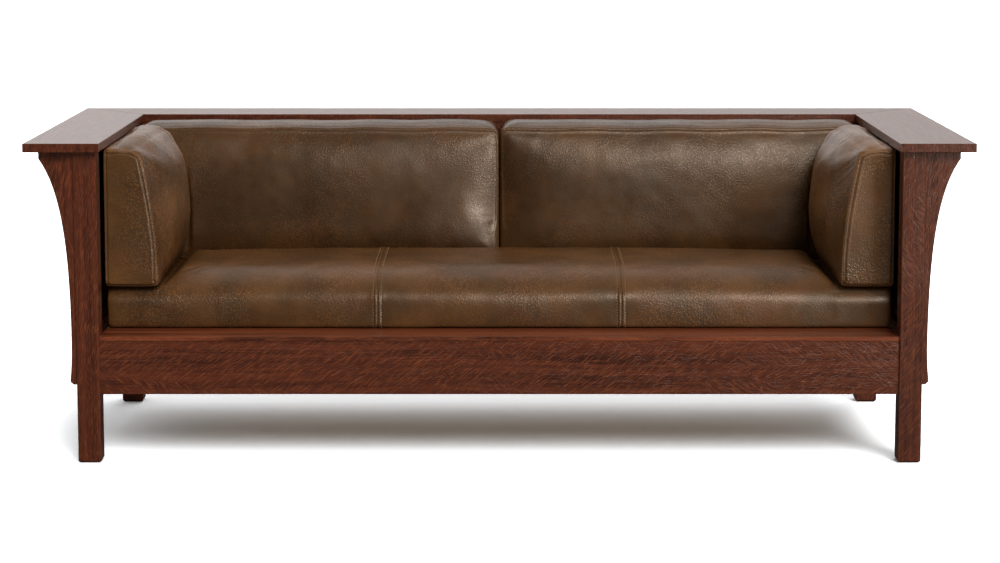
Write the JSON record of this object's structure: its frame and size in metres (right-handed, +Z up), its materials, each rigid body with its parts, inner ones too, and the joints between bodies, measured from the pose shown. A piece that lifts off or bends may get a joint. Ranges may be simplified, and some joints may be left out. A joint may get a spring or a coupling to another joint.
{
  "type": "mission settle",
  "caption": "Long mission settle: oak posts, panelled back and arms under wide flat caps on corbels, with loose leather seat, back and arm cushions.",
  "frame": {"origin": "on the floor, under the middle of the caps", "axes": "+X along the settle, front faces -Y, +Z up"},
  "size_m": [2.146, 0.927, 0.737],
  "materials": {
    "oak": "satin",
    "deck_wood": "matte",
    "leather": "satin",
    "foam": "matte",
    "fibre": "matte",
    "steel": "satin"
  },
  "bodies": {
    "frame": {"back_cap": "oak", "back_left_corbel": "oak", "back_lower_rail": "oak", "back_panel_1": "oak", "back_panel_2": "oak", "back_panel_3": "oak", "back_panel_4": "oak", "back_panel_5": "oak", "back_right_corbel": "oak", "back_stile_1": "oak", "back_stile_2": "oak", "back_stile_3": "oak", "back_stile_4": "oak", "back_upper_rail": "oak", "cap_dowels": "oak", "cleat_screws": "steel", "corbel_plugs": "oak", "corbel_screws": "steel", "front_cleat": "deck_wood", "front_left_corbel": "oak", "front_left_post": "oak", "front_rail": "oak", "front_right_corbel": "oak", "front_right_post": "oak", "left_arm_cap": "oak", "left_lower_rail": "oak", "left_mitre_key": "oak", "left_panel_1": "oak", "left_panel_2": "oak", "left_stile_1": "oak", "left_upper_rail": "oak", "rear_cleat": "deck_wood", "rear_left_corbel": "oak", "rear_left_post": "oak", "rear_right_corbel": "oak", "rear_right_post": "oak", "right_arm_cap": "oak", "right_lower_rail": "oak", "right_mitre_key": "oak", "right_panel_1": "oak", "right_panel_2": "oak", "right_stile_1": "oak", "right_upper_rail": "oak", "seat_deck": "deck_wood", "seat_ledge": "oak", "seat_slats": "deck_wood", "slat_screws": "steel"},
    "seat_cushion": {"seat_cushion_cover": "leather", "seat_cushion_foam": "foam", "seat_cushion_topper": "fibre"},
    "left_arm_cushion": {"left_arm_cushion_cover": "leather", "left_arm_cushion_foam": "foam"},
    "right_arm_cushion": {"right_arm_cushion_cover": "leather", "right_arm_cushion_foam": "foam"},
    "left_back_cushion": {"left_back_cushion_cover": "leather", "left_back_cushion_foam": "foam"},
    "right_back_cushion": {"right_back_cushion_cover": "leather", "right_back_cushion_foam": "foam"}
  },
  "joints": [
    {"name": "seat_cushion_slide", "type": "slide", "parent": "frame", "child": "seat_cushion", "axis": [0, -1, 0], "range_m": [0, 0.75]},
    {"name": "left_arm_cushion_slide", "type": "slide", "parent": "frame", "child": "left_arm_cushion", "axis": [0, -1, 0], "range_m": [0, 0.58]},
    {"name": "right_arm_cushion_slide", "type": "slide", "parent": "frame", "child": "right_arm_cushion", "axis": [0, -1, 0], "range_m": [0, 0.58]},
    {"name": "left_back_cushion_lift", "type": "slide", "parent": "frame", "child": "left_back_cushion", "axis": [0, 0, 1], "range_m": [0, 0.36]},
    {"name": "right_back_cushion_lift", "type": "slide", "parent": "frame", "child": "right_back_cushion", "axis": [0, 0, 1], "range_m": [0, 0.36]}
  ]
}
